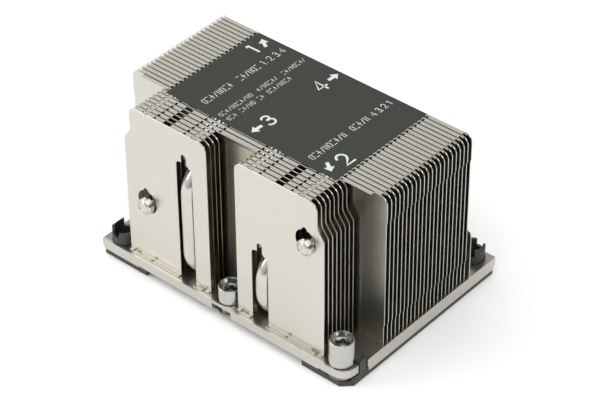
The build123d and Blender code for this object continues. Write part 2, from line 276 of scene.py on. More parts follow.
def makeInkFinish():
    f = Finish("paleInk", {"Metallic": 0.0})
    worn = f.noise(1200, (1, 1, 1), 3)
    f.feed("Base Color", f.blend(worn, (0.50, 0.54, 0.51, 1), (0.66, 0.70, 0.67, 1)))
    f.feed("Roughness", worn * 0.1 + 0.5)
    return f.material


finFinish, plateFinish, pipeFinish = makeFinFinish(), makePlateFinish(), makePipeFinish()
nutFinish, springFinish = makeNutFinish(), makeSpringFinish()
plasticFinish, labelFinish, inkFinish = makePlasticFinish(), makeLabelFinish(), makeInkFinish()
print("finishes made")


# mesh helpers

def tidy(points):
    kept = []
    for point in points:
        if not kept or (Vector(point) - Vector(kept[-1])).length > 1e-4:
            kept.append(point)
    return kept


def arc(x, z, radius, start, end, steps=8):
    turns = [radians(start + (end - start) * i / steps) for i in range(steps + 1)]
    return [(x + radius * cos(a), z + radius * sin(a)) for a in turns]


def filled(outlines, thickness, edge=0.0):
    # a flat shape with holes, as thick as it says, centred on its plane
    curve = bpy.data.curves.new("flat", "CURVE")
    curve.dimensions, curve.fill_mode = "2D", "BOTH"
    curve.extrude = (thickness / 2 - edge) * mm
    if edge:
        curve.bevel_depth, curve.offset, curve.bevel_resolution = edge * mm, -edge * mm, 0
    for outline in outlines:
        outline = tidy(outline)
        spline = curve.splines.new("POLY")
        spline.points.add(len(outline) - 1)
        for point, (x, z) in zip(spline.points, outline):
            point.co = (x * mm, z * mm, 0, 1)
        spline.use_cyclic_u = True
    thing = bpy.data.objects.new("flat", curve)
    bpy.context.scene.collection.objects.link(thing)
    mesh = bpy.data.meshes.new_from_object(thing.evaluated_get(bpy.context.evaluated_depsgraph_get()))
    bpy.data.objects.remove(thing)
    bpy.data.curves.remove(curve)
    return mesh


def stood(mesh, y):
    # from the drawing plane to a sheet that stands across Y
    mesh.transform(Matrix.Translation((0, y * mm, 0)) @ Matrix.Rotation(pi / 2, 4, "X"))
    return mesh


def lifted(mesh, z):
    mesh.transform(Matrix.Translation((0, 0, z * mm)))
    return mesh


def bar(section, x0, x1):
    # a section in Y and Z, drawn out along X
    shape = bmesh.new()
    ends = [[shape.verts.new((x * mm, y * mm, z * mm)) for y, z in section] for x in (x0, x1)]
    for ring in ends:
        shape.faces.new(ring)
    for i in range(len(section)):
        j = (i + 1) % len(section)
        shape.faces.new((ends[0][i], ends[0][j], ends[1][j], ends[1][i]))
    return fromShape(shape)


def fromShape(shape):
    bmesh.ops.recalc_face_normals(shape, faces=shape.faces)
    mesh = bpy.data.meshes.new("shape")
    shape.to_mesh(mesh)
    shape.free()
    return mesh


def joined(meshes):
    shape = bmesh.new()
    for mesh in meshes:
        shape.from_mesh(mesh)
        bpy.data.meshes.remove(mesh)
    bmesh.ops.remove_doubles(shape, verts=shape.verts, dist=1e-7)
    bmesh.ops.recalc_face_normals(shape, faces=shape.faces)
    mesh = bpy.data.meshes.new("joined")
    shape.to_mesh(mesh)
    shape.free()
    return mesh


def piece(name, mesh, finish, body, slot, *replaced, smooth=None):
    thing = bpy.data.objects.new(name, mesh)
    mesh.name = name
    mesh.materials.clear()
    mesh.materials.append(finish)
    bpy.context.scene.collection.objects.link(thing)
    if smooth:
        mesh.shade_smooth()
    mesh.set_sharp_from_angle(angle=radians(smooth or 30))
    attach(thing, body)
    if replaced:
        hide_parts(*replaced)
    return thing


# Geometry Nodes: one sheet, repeated backwards through the stack

def rowTree():
    tree = bpy.data.node_groups.new("sheetRow", "GeometryNodeTree")
    sockets = tree.interface
    sockets.new_socket("Sheet", in_out="INPUT", socket_type="NodeSocketGeometry")
    sockets.new_socket("Count", in_out="INPUT", socket_type="NodeSocketInt")
    sockets.new_socket("Pitch", in_out="INPUT", socket_type="NodeSocketFloat")
    sockets.new_socket("Finish", in_out="INPUT", socket_type="NodeSocketMaterial")
    sockets.new_socket("Row", in_out="OUTPUT", socket_type="NodeSocketGeometry")
    add, link = tree.nodes.new, tree.links.new
    given, result = add("NodeGroupInput"), add("NodeGroupOutput")
    step, line = add("ShaderNodeCombineXYZ"), add("GeometryNodeMeshLine")
    spread, real, paint = (
        add("GeometryNodeInstanceOnPoints"), add("GeometryNodeRealizeInstances"), add("GeometryNodeSetMaterial"))
    link(given.outputs["Pitch"], step.inputs["Y"])
    link(given.outputs["Count"], line.inputs["Count"])
    link(step.outputs[0], line.inputs["Offset"])
    link(line.outputs[0], spread.inputs["Points"])
    link(given.outputs["Sheet"], spread.inputs["Instance"])
    link(spread.outputs[0], real.inputs[0])
    link(real.outputs[0], paint.inputs["Geometry"])
    link(given.outputs["Finish"], paint.inputs["Material"])
    link(paint.outputs[0], result.inputs[0])
    return tree


sheetRow = rowTree()


def repeated(name, mesh, count, finish, replaced):
    thing = piece(name, mesh, finish, "heatsink", "fin_metal", *replaced)
    modifier = thing.modifiers.new("row", "NODES")
    modifier.node_group = sheetRow
    names = {item.name: item.identifier for item in sheetRow.interface.items_tree if item.in_out == "INPUT"}
    modifier[names["Count"]] = count
    modifier[names["Pitch"]] = stack["pitch"] * mm
    modifier[names["Finish"]] = finish
    baked = bpy.data.meshes.new_from_object(thing.evaluated_get(bpy.context.evaluated_depsgraph_get()))
    thing.modifiers.clear()
    thing.data = baked
    return thing


stack = {
    "pitch": 2.02,
    "first": -36.1,      # the foremost sheet's middle
    "sheet": 0.37,
    "foot": 3.8,
    "top": 64.0,
    "corner": 3.0,
    "fold": 0.55,        # outer radius of the folded top edge
    "slit": 0.085,
    "half": 54.0,
    "waist": 0.3,        # how far the side edge steps in at each of the two jogs
    "waistLow": 12.0,
    "waistHigh": 54.0,
    "jog": 0.8,
    "lowTop": 24.2,
    "frontFold": 48.6,   # half length of the foremost main sheet's fold
}
pipeSize = {
    "radius": 3.0,
    "bend": 10.0,
    "upper": 48.0,
    "lower": 28.6,
    "floor": 4.8,
    "riserY": 34.0,
    "hole": 3.3,
    "notchHalf": 1.1,
    "notchTop": 4.4,
}
risers = {"left": (-16.5, pipeSize["upper"]), "right": (15.4, pipeSize["lower"])}
tips = {"left": (-34.4, pipeSize["lower"]), "right": (34.4, pipeSize["upper"])}
leans = {"left": (1.15, -1.25), "right": (1.6, -1.5)}     # how far each tip sits from its hole's middle, in X and Z
mouth = {"x": 0.5, "z": -0.6, "radius": 4.25}              # the wider hole of the foremost sheets


def sheetY(index):
    return stack["first"] + index * stack["pitch"]


def pipeHole(x, z):
    # round, with the solder notch over it
    return keyhole(x, z, pipeSize["hole"], x, z + pipeSize["notchTop"])


def frontHole(x, z):
    return keyhole(x + mouth["x"], z + mouth["z"], mouth["radius"], x, z + pipeSize["notchTop"] + 0.2)


def keyhole(x, z, r, notchX, top):
    h = pipeSize["notchHalf"]
    right, left = notchX + h - x, notchX - h - x
    start, end = degrees(acos(left / r)), 360 + degrees(acos(right / r))
    notch = arc(notchX, top - h, h, 0, 180, 6)
    sides = [(x + left, z + (r * r - left * left) ** 0.5), (x + right, z + (r * r - right * right) ** 0.5)]
    return notch + sides[:1] + arc(x, z, r, start, end, 28)[1:-1] + sides[1:]


def topRun(x0, x1, spans, top):
    # along the top from right to left, stepping down where the edge is folded
    points = [(x1, top)]
    for a, b in sorted(spans, reverse=True):
        points += [(b, top), (b, top - stack["fold"]), (a, top - stack["fold"]), (a, top)]
    return points + [(x0, top)]


def mainOutline(spans, top, floorPipes):
    half, r, foot = stack["half"], stack["corner"], stack["foot"]
    tall = top > stack["waistHigh"]
    low = half - 2 * stack["waist"] if tall else half
    points = [(-low, foot)]
    for x in sorted(floorPipes):
        h = pipeSize["hole"]
        points += [(x - h, foot), (x - h, pipeSize["floor"] + h), (x + h, pipeSize["floor"] + h), (x + h, foot)]
    points += [(low, foot)]
    side = []
    if tall:
        inner, jog = half - stack["waist"], stack["jog"] / 2
        side = [(low, stack["waistLow"] - jog), (inner, stack["waistLow"] + jog),
                (inner, stack["waistHigh"] - jog), (half, stack["waistHigh"] + jog)]
    points += side + arc(half - r, top - r, r, 0, 90)
    points += topRun(-half + r, half - r, spans, top)
    points += arc(-half + r, top - r, r, 90, 180) + [(-x, z) for x, z in reversed(side)]
    return points


def flange(span, notches, holes, tabs):
    # the folded top edge: a flat strip with its cuts, and the bend behind it
    a, b = span
    t, front = stack["sheet"], -(stack["pitch"] - stack["sheet"] / 2 - stack["slit"])
    bend = t / 2 - stack["fold"]
    edge = [(a, bend), (a, front)]
    cuts = [(x - w / 2, x + w / 2, front + d) for x, w, d in notches if a < x < b]
    cuts += [(x0, x1, front - 0.42) for x0, x1 in tabs if a < x0 < b]
    for x0, x1, y in sorted(cuts):
        edge += [(x0, front), (x0, y), (x1, y), (x1, front)]
    edge += [(b, front), (b, bend)]
    windows = [[(x - w / 2, y - d / 2), (x + w / 2, y - d / 2), (x + w / 2, y + d / 2), (x - w / 2, y + d / 2)]
               for x, y, w, d in holes if a < x < b]
    strip = lifted(filled([edge] + windows, t), stack["top"] - t / 2)
    centre = stack["top"] - stack["fold"]
    section = arc(bend, centre, stack["fold"], 0, 90, 4) + arc(bend, centre, stack["fold"] - t, 90, 0, 2)
    return [strip, bar(section, a, b)]


lock = {
    "centres": (-32.9, -11.8, 12.1, 33.1),
    "ticks": (-29.1, -16.1, 15.9, 29.05),
    "innerTicks": (-8.1, 8.2),
    "lips": ((-2.0, 0.6), (-0.3, 0.9), (1.35, 0.6)),
    "tickWide": 0.85,
    "tickDeep": 0.85,
    "dotWide": 0.7,
    "dotDeep": 0.6,
    "ridge": 0.13,
}


def lockParts(centres, ticks):
    notches = [(x, lock["tickWide"], lock["tickDeep"]) for x in ticks]
    tabs, holes, ridges = [], [], []
    for x in centres:
        notches += [(x - 1.35, lock["dotWide"], lock["dotDeep"]), (x + 0.75, lock["dotWide"], lock["dotDeep"])]
        tabs.append((x - 1.0, x + 0.4))
        holes.append((x - 0.6, -0.95, 0.55, 0.5))
    return notches, holes, tabs


def ridge(x0, x1, y):
    # the raised bright lip beside each lock
    r = lock["ridge"]
    return bar([(y + 1.3 * r * cos(a), stack["top"] + r * sin(a)) for a in [pi * i / 5 for i in range(6)]], x0, x1)


def mainSheets():
    reach = stack["half"] - stack["corner"]
    span = (-reach, reach)
    notches = [(x, 0.8, 0.8) for x in (-36.6, 36.9)]
    groups = {"ahead": (9, 14, "left"), "middle": (15, 22, "both"), "behind": (23, 28, "right")}
    under = {"left": [risers["left"][0], risers["right"][0]], "right": [tips["left"][0], tips["right"][0]]}
    under["both"] = under["left"] + under["right"]
    holes = [pipeHole(*spot) for spot in (*risers.values(), *tips.values())]

    def sheetAt(index, floor, span):
        y = sheetY(index)
        outline = mainOutline([span], stack["top"], under[floor])
        parts = [stood(filled([outline] + holes, stack["sheet"]), y)]
        for part in flange(span, notches, [], []):
            part.transform(Matrix.Translation((0, y * mm, 0)))
            parts.append(part)
        return joined(parts)

    front = sheetAt(8, "left", (-stack["frontFold"], stack["frontFold"]))
    piece("mainSheetFront", front, finFinish, "heatsink", "fin_metal", "main_fin_01")
    piece("mainSheetBack", sheetAt(29, "right", span), finFinish, "heatsink", "fin_metal", "main_fin_22")
    for name, (first, last, floor) in groups.items():
        replaced = [f"main_fin_{i - 7:02d}" for i in range(first, last + 1)]
        repeated(f"mainSheets_{name}", sheetAt(first, floor, span), last - first + 1, finFinish, replaced)
    low = stood(filled([mainOutline([], stack["lowTop"], under["right"])], stack["sheet"]), sheetY(30))
    piece("lowRearSheet", low, finFinish, "heatsink", "fin_metal", "low_rear_fin")


mainSheets()
print("main sheets made")


block = {
    "left": {"outer": -43.0, "inner": -6.5, "gap": (-25.4, -22.2), "shoulder": 52.2, "notchTop": 55.6},
    "right": {"outer": 42.3, "inner": 5.5, "gap": (22.2, 25.4), "shoulder": 32.5, "notchTop": 36.0},
    "firstAcross": 4,    # from this row back, sheets run across both blocks
    "inset": 2.8,
    "shoulderHigh": 54.3,
    "shoulderLow": 50.8,
    "slotHalf": 3.4,
    "slotCorner": 1.7,
    "slope": 2.0,
    "lipInset": 2.45,
    "lipDeep": 1.6,
}


def slotPath(x, shoulder, top):
    # the open slot that a pipe climbs through, from its left foot to its right foot
    h, n, r, foot = block["slotHalf"], pipeSize["notchHalf"], block["slotCorner"], stack["foot"]
    return ([(x - h, foot)] + arc(x - h + r, shoulder - r, r, 180, 90, 4) + [(x - n, shoulder)]
            + arc(x, top - n, n, 180, 0, 8)
            + [(x + n, shoulder - 0.2), (x + h, shoulder - block["slope"]), (x + h, foot)])


def outerEdge(side):
    # from the foot up to the start of the top corner, with the step in the outer edge
    b, way = block[side], 1 if side == "right" else -1
    step = b["outer"] - way * block["inset"]
    return [(b["outer"], stack["foot"]), (b["outer"], block["shoulderLow"] - 0.6),
            (b["outer"] - way * 0.25, block["shoulderLow"] + 0.1), (step + way * 0.25, block["shoulderHigh"] - 0.1),
            (step, block["shoulderHigh"] + 0.6)]


def topEnds(side):
    b, way, r = block[side], 1 if side == "right" else -1, stack["corner"]
    return sorted((b["inner"] + way * r, b["outer"] - way * (block["inset"] + r)))


def sideSlot(side):
    return slotPath(risers[side][0], block[side]["shoulder"], block[side]["notchTop"])


def blockOutline(side, spans):
    b, r, foot, top = block[side], stack["corner"], stack["foot"], stack["top"]
    start, end = topEnds(side)
    if side == "right":
        points = [(b["inner"], foot)] + sideSlot(side) + outerEdge(side) + arc(end, top - r, r, 0, 90)
        return points + topRun(start, end, spans, top) + arc(start, top - r, r, 90, 180)
    points = sideSlot(side) + [(b["inner"], foot)] + arc(end, top - r, r, 0, 90)
    return points + topRun(start, end, spans, top) + arc(start, top - r, r, 90, 180) + outerEdge(side)[::-1]


def acrossOutline(spans):
    r, top = stack["corner"], stack["top"]
    start, end = topEnds("left")[0], topEnds("right")[1]
    points = sideSlot("left") + sideSlot("right") + outerEdge("right") + arc(end, top - r, r, 0, 90)
    return points + topRun(start, end, spans, top) + arc(start, top - r, r, 90, 180) + outerEdge("left")[::-1]


def within(xs, span):
    return [x for x in xs if span[0] < x < span[1]]


def foldedTop(y, spans, ends):
    # every flange of one sheet, with its cuts and the small lips of its locks
    notches, holes, tabs = lockParts(lock["centres"], lock["ticks"] + lock["innerTicks"])
    parts = []
    for span in spans:
        parts += flange(span, notches, holes, tabs)
        for centre in within(lock["centres"], span):
            parts += [lip(centre + dx, width) for dx, width in lock["lips"]]
    for x0, x1 in ends:
        parts.append(ridge(x0, x1, 0.35 - stack["pitch"]))
    for part in parts:
        part.transform(Matrix.Translation((0, y * mm, 0)))
    return parts


def lip(x, width):
    # a small pressed lip, rising towards the back
    y, top = 0.2 - stack["pitch"], stack["top"]
    return bar([(y, top - 0.05), (y + 0.4, top + 0.2), (y + 0.55, top + 0.2), (y + 0.6, top - 0.05)], x - width / 2, x + width / 2)


def blockSpans(side):
    start, end = topEnds(side)
    gap = block[side]["gap"]
    return [(start, gap[0]), (gap[1], end)]


def blockSheets(side):
    hole, start = pipeHole(*tips[side]), topEnds(side)
    ticks = within(lock["ticks"], start)
    ends = [(start[0] + 0.4, ticks[0] - 0.6), (ticks[-1] + 0.6, start[1] - 0.4)]
    y, spans = sheetY(1), blockSpans(side)
    parts = [stood(filled([blockOutline(side, spans), hole], stack["sheet"]), y)] + foldedTop(y, spans, ends)
    replaced = [f"{side}_fin_{i}" for i in range(2, block["firstAcross"] + 1)]
    repeated(f"{side}BlockSheets", joined(parts), len(replaced), finFinish, replaced)

    front = filled([blockOutline(side, []), frontHole(*tips[side])] + footSlits(side), stack["sheet"], edge=0.05)
    parts = [stood(front, sheetY(0))] + footLip(side)
    for x in within(lock["centres"], start):
        parts.append(bump(x - 0.3, sheetY(0) - stack["sheet"] / 2, stack["top"] - 0.55))
    piece(f"{side}FrontSheet", joined(parts), finFinish, "heatsink", "fin_metal", f"{side}_fin_1")


def acrossSheets():
    # behind the first four rows, the sheets run across both blocks
    first, last = block["firstAcross"], 7
    left, right = topEnds("left"), topEnds("right")
    ends = [(left[0] + 0.4, lock["ticks"][0] - 0.6), (lock["ticks"][-1] + 0.6, right[1] - 0.4)]
    holes = [pipeHole(*spot) for spot in tips.values()]
    apart = blockSpans("left") + blockSpans("right")
    whole = [apart[0], (apart[1][0], apart[2][1]), apart[3]]
    for name, index, count, spans in (("acrossSheetFirst", first, 1, apart), ("acrossSheets", first + 1, last - first, whole)):
        y = sheetY(index)
        sheet = stood(filled([acrossOutline(spans)] + holes, stack["sheet"]), y)
        replaced = [f"{side}_fin_{i + 1}" for i in range(index, index + count) for side in ("left", "right")]
        repeated(name, joined([sheet] + foldedTop(y, spans, ends)), count, finFinish, replaced)


def footSlits(side):
    # thin slits over the two small feet of the foremost sheet
    x0, x1 = sorted((block[side]["outer"], block[side]["inner"]))
    z0, z1 = stack["foot"] + 0.5, stack["foot"] + 0.95
    return [[(a, z0), (b, z0), (b, z1), (a, z1)] for a, b in ((x0 + 2.5, x0 + 4.9), (x1 - 4.9, x1 - 2.5))]


def bump(x, y, z):
    # where a lock tab presses the foremost sheet out
    shape = bmesh.new()
    bmesh.ops.create_uvsphere(shape, u_segments=12, v_segments=8, radius=1)
    bmesh.ops.scale(shape, vec=(0.85 * mm, 0.28 * mm, 0.5 * mm), verts=shape.verts)
    bmesh.ops.translate(shape, vec=(x * mm, y * mm, z * mm), verts=shape.verts)
    return fromShape(shape)


def footLip(side):
    # the foremost sheet's foot, folded on to the base, in two lengths with a small foot at each end
    b, foot, t = block[side], stack["foot"], stack["sheet"]
    x0, x1 = sorted((b["outer"], b["inner"]))
    slot = risers[side][0]
    h, inset, face = block["slotHalf"], block["lipInset"], sheetY(0) - t / 2
    runs = []
    for a, c in ((x0, slot - h), (slot + h, x1)):
        a1 = a + inset if a == x0 else a
        c1 = c - inset if c == x1 else c
        runs.append((a1, c1))
    parts = []
    for a, c in runs:
        y0 = face - block["lipDeep"]
        lean = [0.45 if a == x0 + inset else 0, 0.45 if c == x1 - inset else 0]
        shape = [(a + lean[0], face + 0.1), (a, y0), (c - lean[1], y0), (c, face + 0.1)]
        rings = []
        if c - a > 8:
            rings = [arc((a + c) / 2 - 2, face - 0.85, 0.6, 0, 360, 14)[:-1]]
        parts.append(lifted(filled([shape] + rings, t, 0.04), foot + t / 2))
        section = [(face + 0.02, foot + t)] + arc(face - 0.45, foot + t + 0.45, 0.45, 0, -90, 4) + [(face - 0.45, foot + t - 0.02), (face + 0.02, foot + t - 0.02)]
        parts.append(bar(section, a + (2.6 if a == x0 + inset else 0), c - (2.6 if c == x1 - inset else 0)))
    for a, c in ((x0 + 0.15, x0 + 1.9), (x1 - 1.9, x1 - 0.15)):
        shape = [(a, face + 0.1), (a, face - 0.95), (c, face - 0.95), (c, face + 0.1)]
        parts.append(lifted(filled([shape], t, 0.04), foot + t / 2))
    return parts


for side in ("left", "right"):
    blockSheets(side)
acrossSheets()
print("front blocks made")


# heat pipes: round tubes, each with a swaged tip at both ends

def smoothRoute(corners, bend):
    points = [corners[0]]
    for before, corner, after in zip(corners, corners[1:], corners[2:]):
        into, out = (corner - before).normalized(), (after - corner).normalized()
        centre = corner + (out - into) * bend
        points += [centre + (into * sin(a) - out * cos(a)) * bend for a in [pi / 2 * i / 16 for i in range(17)]]
    return points + [corners[-1]]


def tube(points, radius, sides=32):
    shape = bmesh.new()
    rings = []
    across = Vector((1, 0, 0))
    for i, point in enumerate(points):
        before, after = points[max(i - 1, 0)], points[min(i + 1, len(points) - 1)]
        side = across.cross((after - before).normalized())
        rings.append([shape.verts.new((point + (across * cos(a) + side * sin(a)) * radius) * mm)
                      for a in [tau * k / sides for k in range(sides)]])
    return shape, rings


def skin(shape, rings, closeStart=True, closeEnd=True):
    for one, two in zip(rings, rings[1:]):
        for i in range(len(one)):
            j = (i + 1) % len(one)
            shape.faces.new((one[i], one[j], two[j], two[i]))
    if closeStart:
        shape.faces.new(rings[0])
    if closeEnd:
        shape.faces.new(rings[-1])


# reach and radius of the swaged tip: a rounded shoulder, a thin groove and a flat end with a sealed centre
tipProfile = [(0.0, 3.0), (0.3, 2.94), (0.58, 2.78), (0.8, 2.55), (0.88, 2.34), (0.62, 2.2), (0.9, 2.02), (1.08, 1.5),
              (1.16, 0.9), (1.17, 0.5), (1.02, 0.38), (1.02, 0.02)]


def heatPipe(name, x, route, lean=(0, 0)):
    corners = [Vector((x, y, z)) for y, z in route]
    points = smoothRoute(corners, pipeSize["bend"])
    points[0] += Vector((lean[0], 0, lean[1]))
    start, end = (points[0] - points[1]).normalized(), (points[-1] - points[-2]).normalized()
    shape, rings = tube(points, pipeSize["radius"])

    def capRings(centre, way, ring):
        made = []
        for reach, radius in tipProfile[1:]:
            made.append([shape.verts.new(centre * mm + way * reach * mm + (v.co - centre * mm) * (radius / pipeSize["radius"]))
                         for v in ring])
        return made

    first = list(reversed(capRings(points[0], start, rings[0])))
    last = capRings(points[-1], end, rings[-1])
    skin(shape, first + rings + last)
    piece(name, fromShape(shape), pipeFinish, "heatsink", "pipe_metal", name, smooth=50)


def tipCollar(side):
    # the sheet drawn in towards the pipe, on the side away from the dark crescent
    x, z = tips[side]
    face = sheetY(0) - stack["sheet"] / 2
    outer, inner = (x + mouth["x"], z + mouth["z"]), (x + leans[side][0], z + leans[side][1])
    rows = [(outer, mouth["radius"] + 0.15, face - 0.35), (inner, pipeSize["radius"] + 0.05, face + 1.0),
            (inner, pipeSize["radius"] + 0.05, face + 1.25), (outer, mouth["radius"] + 0.15, face + 0.1)]
    shape = bmesh.new()
    lines = []
    for (cx, cz), radius, y in rows:
        lines.append([shape.verts.new((px * mm, y * mm, pz * mm)) for px, pz in arc(cx, cz, radius, -125, 50, 20)])
    for one, two in zip(lines, lines[1:] + lines[:1]):
        for i in range(len(one) - 1):
            shape.faces.new((one[i], one[i + 1], two[i + 1], two[i]))
    for end in (0, -1):
        shape.faces.new([line[end] for line in lines])
    return fromShape(shape)


def makePipes():
    floor, y = pipeSize["floor"], pipeSize["riserY"]
    back = sheetY(29) + 1.5 - 1.8
    for side, (x, height) in risers.items():
        heatPipe(f"heat_pipe_{side}_riser", x, [(7.2, floor), (-y, floor), (-y, height), (back, height)])
    for side, (x, height) in tips.items():
        heatPipe(f"heat_pipe_{side}_tip", x, [(-38.1, height), (y, height), (y, floor), (-7.2, floor)], leans[side])
        piece(f"{side}TipCollar", tipCollar(side), pipeFinish, "heatsink", "fin_metal", smooth=40)


makePipes()
print("heat pipes made")


# captive nuts, turned, with a six-lobed socket

nutSize = {
    "head": 4.15, "headLong": 6.0, "collar": 4.35, "collarLong": 3.4, "neck": 3.55,
    "mouth": 3.8, "mouthFloor": 3.2, "mouthDeep": 2.2, "drive": 2.4, "wave": 0.4, "driveDeep": 3.0,
    "thread": 1.65, "web": 0.8, "tail": -0.9, "seat": 1.55, "flange": 1.1,
    "grooveLow": -0.65, "grooveHigh": 0.05, "grooveDeep": 0.5,
}
nutPlaces = {1: (-47.9, 34.1, 13.25), 2: (47.9, -34.1, 13.25), 3: (0.3, -34.1, 9.55), 4: (-0.3, 34.1, 9.55)}


def nutRings(top):
    n = nutSize
    collarTop = top - n["headLong"]
    collarFoot = max(collarTop - n["collarLong"], n["seat"])
    driveFloor = top - n["mouthDeep"] - n["driveDeep"]
    bore = driveFloor - n["web"]
    rings = [(0.02, bore + 0.5), (n["thread"], bore)]
    turns = int((bore - n["tail"]) / 0.7)
    for i in range(turns):        # the thread, as plain rounded rings
        z = bore - 0.1 - 0.7 * i
        rings += [(n["thread"], z), (n["thread"] + 0.22, z - 0.3), (n["thread"], z - 0.6)]
    rings += [(n["thread"] + 0.25, n["tail"]), (n["neck"] - 0.3, n["tail"]), (n["neck"], n["tail"] + 0.15),
              (n["neck"], n["grooveLow"]), (n["neck"] - n["grooveDeep"], n["grooveLow"]),
              (n["neck"] - n["grooveDeep"], n["grooveHigh"]), (n["neck"], n["grooveHigh"])]
    if collarFoot > n["seat"] + 0.1:
        rings += [(n["neck"], n["seat"]), (n["collar"] - 0.15, n["seat"]), (n["collar"], n["seat"] + 0.15),
                  (n["collar"], n["seat"] + n["flange"] - 0.15), (n["collar"] - 0.15, n["seat"] + n["flange"]),
                  (n["neck"], n["seat"] + n["flange"])]
    rings += [(n["neck"], collarFoot), (n["collar"] - 0.25, collarFoot), (n["collar"], collarFoot + 0.25),
              (n["collar"], collarTop - 0.35), (n["head"], collarTop + 0.05), (n["head"], top - 0.3),
              (n["head"] - 0.1, top - 0.08), (n["head"] - 0.22, top), (n["mouth"], top), (n["mouth"] - 0.08, top - 0.12),
              (n["mouthFloor"] + 0.1, top - n["mouthDeep"] + 0.3), (n["mouthFloor"], top - n["mouthDeep"])]
    return rings, top - n["mouthDeep"], driveFloor


def makeNut(number, x, y, top, sides=72):
    rings, lip, floor = nutRings(top)
    shape = bmesh.new()
    angles = [tau * i / sides for i in range(sides)]

    def ring(z, radius):
        return [shape.verts.new(((x + radius(a) * cos(a)) * mm, (y + radius(a) * sin(a)) * mm, z * mm)) for a in angles]

    def lobes(extra):
        return lambda a: nutSize["drive"] + nutSize["wave"] * cos(6 * a) + extra

    loops = [ring(z, lambda a, r=r: r) for r, z in rings]
    loops += [ring(lip, lobes(0.12)), ring(lip - 0.15, lobes(0)), ring(floor, lobes(0)), ring(floor - 0.3, lambda a: 0.6)]
    skin(shape, loops)
    piece(f"captive_nut_{number}", fromShape(shape), nutFinish, f"nut_{number}", "nut_steel", f"nut_{number}", smooth=40)


for number, (x, y, top) in nutPlaces.items():
    makeNut(number, x, y, top)
print("nuts made")


# the label and its print

label = {
    "half": 36.05, "front": -23.4, "back": 22.2, "foot": 64.0, "thick": 0.1, "corner": 0.7,
    "ink": 0.03, "stroke": 0.78, "small": 0.27,
}


def roundedBox(x0, x1, y0, y1, r):
    return (arc(x1 - r, y0 + r, r, -90, 0) + arc(x1 - r, y1 - r, r, 0, 90)
            + arc(x0 + r, y1 - r, r, 90, 180) + arc(x0 + r, y0 + r, r, 180, 270))


def ribbon(points, width):
    # a printed stroke with round ends, on the plane of the print
    shape = bmesh.new()
    top = (label["foot"] + label["thick"] + label["ink"]) * mm
    low = top - label["ink"] * mm
    spots = [Vector((x, y, 0)) for x, y in tidy(points)]
    left, right = [], []
    for i, spot in enumerate(spots):
        before, after = spots[max(i - 1, 0)], spots[min(i + 1, len(spots) - 1)]
        along = (after - before).normalized()
        out = Vector((-along.y, along.x, 0)) * width / 2
        left.append(spot + out)
        right.append(spot - out)
    def cap(spot, inner, outer):
        middle = (spot - inner).normalized() * width / 2
        side = Vector((-middle.y, middle.x, 0))
        return [spot + side * cos(a) * outer + middle * sin(a) for a in [pi * k / 6 for k in range(1, 6)]]
    loop = left + cap(spots[-1], spots[-2], 1) + list(reversed(right)) + cap(spots[0], spots[1], 1)
    upper = [shape.verts.new((p.x * mm, p.y * mm, top)) for p in loop]
    lower = [shape.verts.new((p.x * mm, p.y * mm, low)) for p in loop]
    n, count = len(left), len(loop)
    ends = 5
    for group in (upper, lower):
        for i in range(n - 1):
            shape.faces.new((group[i], group[i + 1], group[n + ends + n - 2 - i], group[n + ends + n - 1 - i]))
        shape.faces.new([group[n - 1]] + group[n:n + ends] + [group[n + ends]])
        shape.faces.new([group[n + ends + n - 1]] + group[n + ends + n:] + [group[0]])
    for i in range(count):
        j = (i + 1) % count
        shape.faces.new((upper[i], upper[j], lower[j], lower[i]))
    return fromShape(shape)


# numerals as pen strokes, one unit high, reading to the right
numerals = {
    "1": [[(0.06, 0.80), (0.13, 0.93), (0.26, 1.0), (0.26, 0.0)]],
    "2": [arc(0.34, 0.68, 0.32, 165, -35, 10) + [(0.50, 0.38), (0.02, 0.0), (0.72, 0.0)]],
    "3": [arc(0.36, 0.75, 0.25, 150, -90, 10), arc(0.36, 0.26, 0.30, 96, -150, 12)],
    "4": [[(0.75, 0.28), (0.0, 0.28), (0.52, 1.0), (0.52, 0.0)]],
    ".": [[(0.05, 0.0), (0.06, 0.03)]],
}


def written(text, x, y, height, width, stroke, spacing):
    # the print stands with its top towards -X and reads towards +Y
    parts = []
    for i, letter in enumerate(text):
        for j, path in enumerate(numerals[letter]):
            spots = [(x - v * height, y + u * width + i * spacing) for u, v in path]
            parts.append(lifted(ribbon(spots, stroke), 0.006 * j))
    return parts


def arrow(x, y, dx, dy):
    # a short thick arrow from (x, y) along (dx, dy)
    along = Vector((dx, dy)).normalized()
    across = Vector((-along.y, along.x))
    outline = [(0, -0.62), (2.5, -0.62), (2.5, -1.75), (4.85, 0), (2.5, 1.75), (2.5, 0.62), (0, 0.62)]
    spots = [Vector((x, y)) + along * u + across * v for u, v in outline]
    return lifted(filled([[(p.x, p.y) for p in spots]], label["ink"]), label["foot"] + label["thick"] + label["ink"] / 2)


# plain marks, one unit high, that stand where the label carries words
loop = [(u + 0.5, v + 0.5) for u, v in ((-0.3, -0.5), (0.3, -0.5), (0.5, -0.3), (0.5, 0.3), (0.3, 0.5), (-0.3, 0.5),
                                        (-0.5, 0.3), (-0.5, -0.3), (-0.3, -0.5))]
marks = [
    [loop],
    [[(0.1, 0.0), (0.1, 1.0)], [(0.9, 0.0), (0.9, 1.0)]],
    [[(0.05, 0.0), (0.95, 1.0)]],
    [[(0.0, 0.5), (1.0, 0.5)], [(0.5, 0.0), (0.5, 1.0)]],
    [[(0.0, 0.0), (1.0, 0.0)], [(0.0, 1.0), (1.0, 1.0)]],
]


